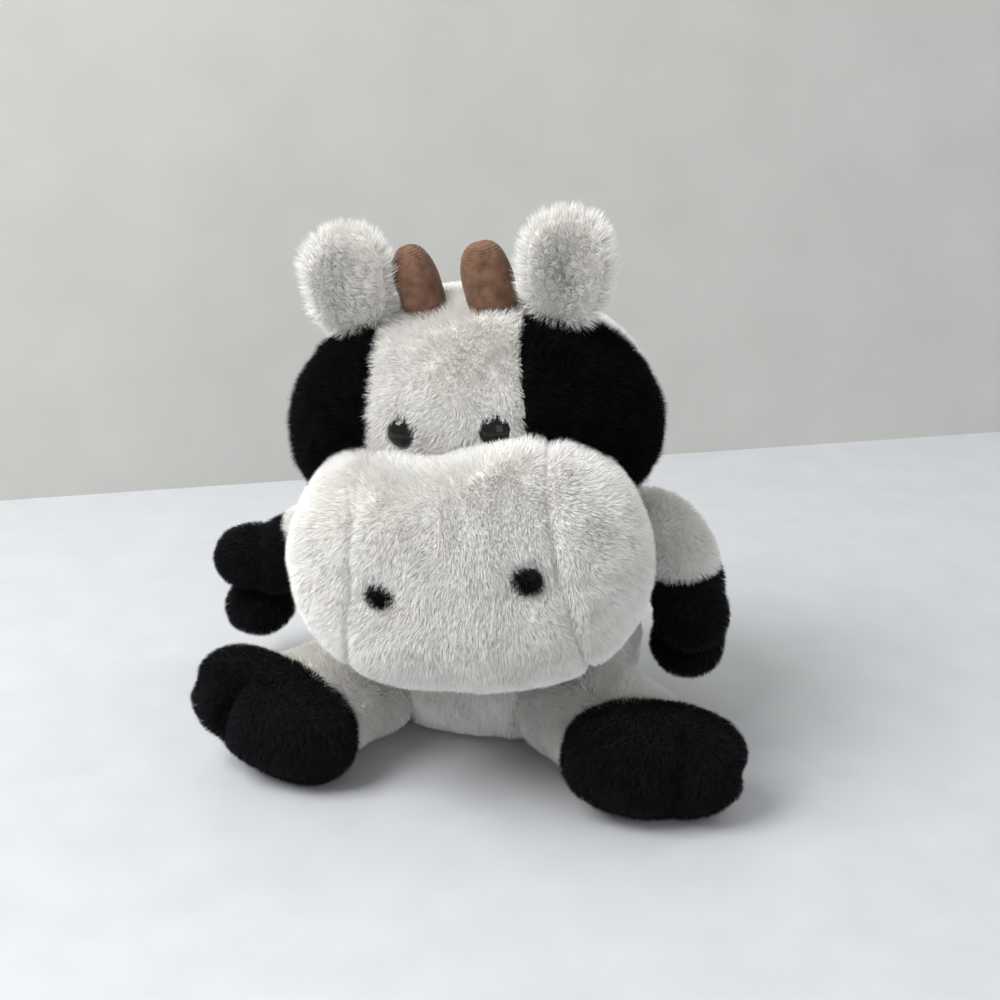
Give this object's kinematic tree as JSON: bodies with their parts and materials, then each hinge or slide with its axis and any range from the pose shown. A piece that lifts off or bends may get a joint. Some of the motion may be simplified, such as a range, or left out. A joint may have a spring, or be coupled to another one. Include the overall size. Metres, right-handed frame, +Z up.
{
  "type": "hand puppet",
  "caption": "Plush cow hand puppet that sits with its legs spread, with a big padded muzzle, upright ears, soft horns and cloven hooves, worked by a hand put in at its back",
  "frame": {"origin": "middle of the flat seat, on the floor plane, below the point where the head turns on the body", "axes": "+Z up, face and soles towards -Y, the toy's own left hand at +X"},
  "size_m": [0.2848, 0.1829, 0.2635],
  "materials": {
    "white_plush": "matte",
    "black_plush": "matte",
    "stuffing": "matte",
    "lining_knit": "matte",
    "horn_cloth": "matte",
    "eye_plastic": "gloss",
    "washer_plastic": "matte",
    "nostril_felt": "matte"
  },
  "bodies": {
    "torso": {"body_skin": "white_plush", "seat_panel": "white_plush", "belly_stuffing": "stuffing", "seat_stuffing": "stuffing", "shoulder_stuffing_left": "stuffing", "shoulder_stuffing_right": "stuffing", "nape_stuffing": "stuffing", "flank_stuffing_left": "stuffing", "flank_stuffing_right": "stuffing", "back_stuffing": "stuffing", "hand_lining": "lining_knit", "opening_hem": "white_plush"},
    "neck": {"neck_band": "white_plush"},
    "head": {"head_stuffing": "stuffing", "head_finger_pocket": "lining_knit", "head_back": "white_plush", "head_blaze": "white_plush", "head_patch_left": "black_plush", "head_patch_right": "black_plush", "eye_left": "eye_plastic", "eye_right": "eye_plastic", "eye_washer_left": "washer_plastic", "eye_washer_right": "washer_plastic", "muzzle_stuffing": "stuffing", "muzzle_centre": "white_plush", "muzzle_side_left": "white_plush", "muzzle_side_right": "white_plush", "nostril_left": "nostril_felt", "nostril_right": "nostril_felt", "horn_left": "horn_cloth", "horn_right": "horn_cloth"},
    "ear_left": {"ear_back_left": "white_plush", "ear_lining_left": "white_plush"},
    "arm_left": {"arm_left": "white_plush", "arm_finger_pocket_left": "lining_knit", "hoof_left": "black_plush"},
    "leg_left": {"leg_left": "white_plush", "foot_upper_left": "black_plush", "foot_sole_left": "black_plush"},
    "ear_right": {"ear_back_right": "white_plush", "ear_lining_right": "white_plush"},
    "arm_right": {"arm_right": "white_plush", "arm_finger_pocket_right": "lining_knit", "hoof_right": "black_plush"},
    "leg_right": {"leg_right": "white_plush", "foot_upper_right": "black_plush", "foot_sole_right": "black_plush"}
  },
  "joints": [
    {"name": "head_turn", "type": "hinge", "parent": "torso", "child": "neck", "pos_m": [0, 0, 0.119], "axis": [0, 0, 1], "range_deg": [-12, 12]},
    {"name": "head_nod", "type": "hinge", "parent": "neck", "child": "head", "pos_m": [0, 0, 0.119], "axis": [1, 0, 0], "range_deg": [-22, 0]},
    {"name": "ear_left_flop", "type": "hinge", "parent": "head", "child": "ear_left", "pos_m": [0.04228, -0.03514, 0.21756], "axis": [0.9962, 0.0697, -0.0523], "range_deg": [-40, 40], "stiffness_Nm_per_rad": 0.02},
    {"name": "arm_left_raise", "type": "hinge", "parent": "torso", "child": "arm_left", "pos_m": [0.056, 0.008, 0.09], "axis": [0, -1, 0], "range_deg": [-10, 25]},
    {"name": "leg_left_swing", "type": "hinge", "parent": "torso", "child": "leg_left", "pos_m": [0.052, -0.044, 0.0285], "axis": [-0.7071, -0.7071, 0], "range_deg": [-75, 8]},
    {"name": "ear_right_flop", "type": "hinge", "parent": "head", "child": "ear_right", "pos_m": [-0.05075, -0.04164, 0.21077], "axis": [0.9853, 0.0689, 0.1564], "range_deg": [-40, 40], "stiffness_Nm_per_rad": 0.02},
    {"name": "arm_right_raise", "type": "hinge", "parent": "torso", "child": "arm_right", "pos_m": [-0.056, 0.008, 0.09], "axis": [0, 1, 0], "range_deg": [-10, 25]},
    {"name": "leg_right_swing", "type": "hinge", "parent": "torso", "child": "leg_right", "pos_m": [-0.052, -0.044, 0.0285], "axis": [-0.829, 0.5592, 0], "range_deg": [-75, 8]}
  ]
}
